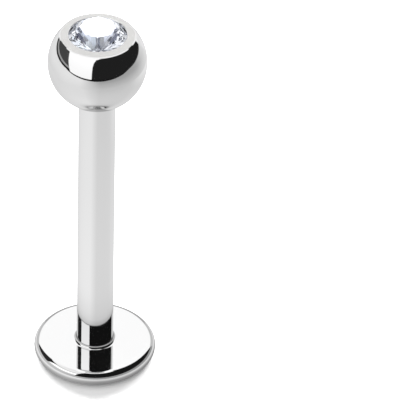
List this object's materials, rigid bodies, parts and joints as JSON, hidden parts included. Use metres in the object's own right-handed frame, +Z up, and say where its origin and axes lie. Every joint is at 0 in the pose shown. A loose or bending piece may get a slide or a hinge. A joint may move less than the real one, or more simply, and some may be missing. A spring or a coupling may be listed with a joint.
{
  "type": "labret piercing stud with a screw-on ball and a set stone",
  "caption": "Straight body-jewellery stud: a flat disc back, a plain shaft with a threaded stub, and a screw-on ball that holds a clear cut stone.",
  "frame": {"origin": "centre of the disc's underside, which stands on the surface", "axes": "+Z up the shaft, towards the ball and the stone; X and Y are level, and the stone has a corner of its table on each of them"},
  "size_m": [0.004, 0.004, 0.0132],
  "materials": {
    "post_steel": "mirror-polished surgical steel with faint polishing lines",
    "ball_steel": "mirror-polished surgical steel, with a finely brushed ring round the stone",
    "clear_stone": "clear faceted crystal with a faint blue cast",
    "silver_foil": "bright silver backing"
  },
  "bodies": {
    "post": {"labret_post": "post_steel"},
    "backing": {"stone_foil": "silver_foil"},
    "ball": {"threaded_ball": "ball_steel", "gem_stone": "clear_stone"}
  },
  "joints": [
    {"name": "ball_lift", "type": "slide", "parent": "post", "child": "backing", "axis": [0, 0, 1], "range_m": [0, 0.00175]},
    {"name": "ball_turn", "type": "hinge", "parent": "backing", "child": "ball", "pos_m": [0, 0, 0.0118], "axis": [0, 0, 1], "range_deg": [0, 2520]}
  ],
  "couplings": [
    {"joint": "ball_turn", "follows": "ball_lift", "rad_per_m": 25133}
  ]
}
